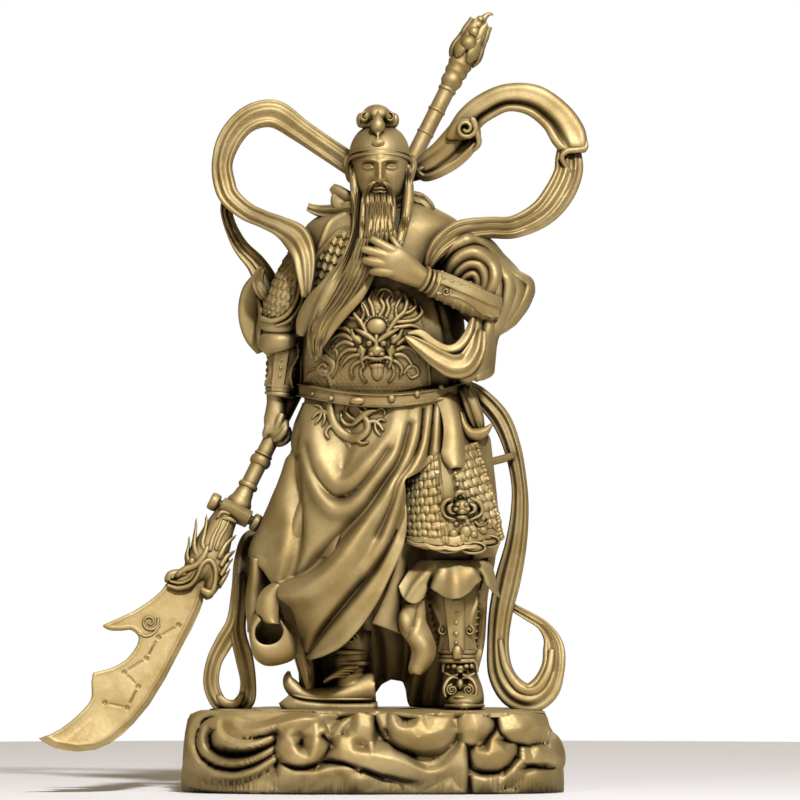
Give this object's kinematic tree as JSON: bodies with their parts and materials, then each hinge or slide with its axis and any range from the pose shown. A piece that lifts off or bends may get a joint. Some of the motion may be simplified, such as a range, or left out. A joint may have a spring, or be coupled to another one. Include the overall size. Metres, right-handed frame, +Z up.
{
  "type": "armoured standing figure on a rock plinth",
  "caption": "Cast brass figure in scale armour and long robe, holding a pole blade, with a looping scarf, on a rock plinth.",
  "frame": {"origin": "middle of the plinth's underside", "axes": "+Z up, the figure faces -Y, +X to the right as seen from the front"},
  "size_m": [0.4371, 0.1871, 0.6228],
  "materials": {
    "cast_brass": "antique satin, hand brushed, darker in the hollows"
  },
  "bodies": {
    "root": {"rock_base": "cast_brass", "figure": "cast_brass", "glaive": "cast_brass"}
  },
  "joints": []
}
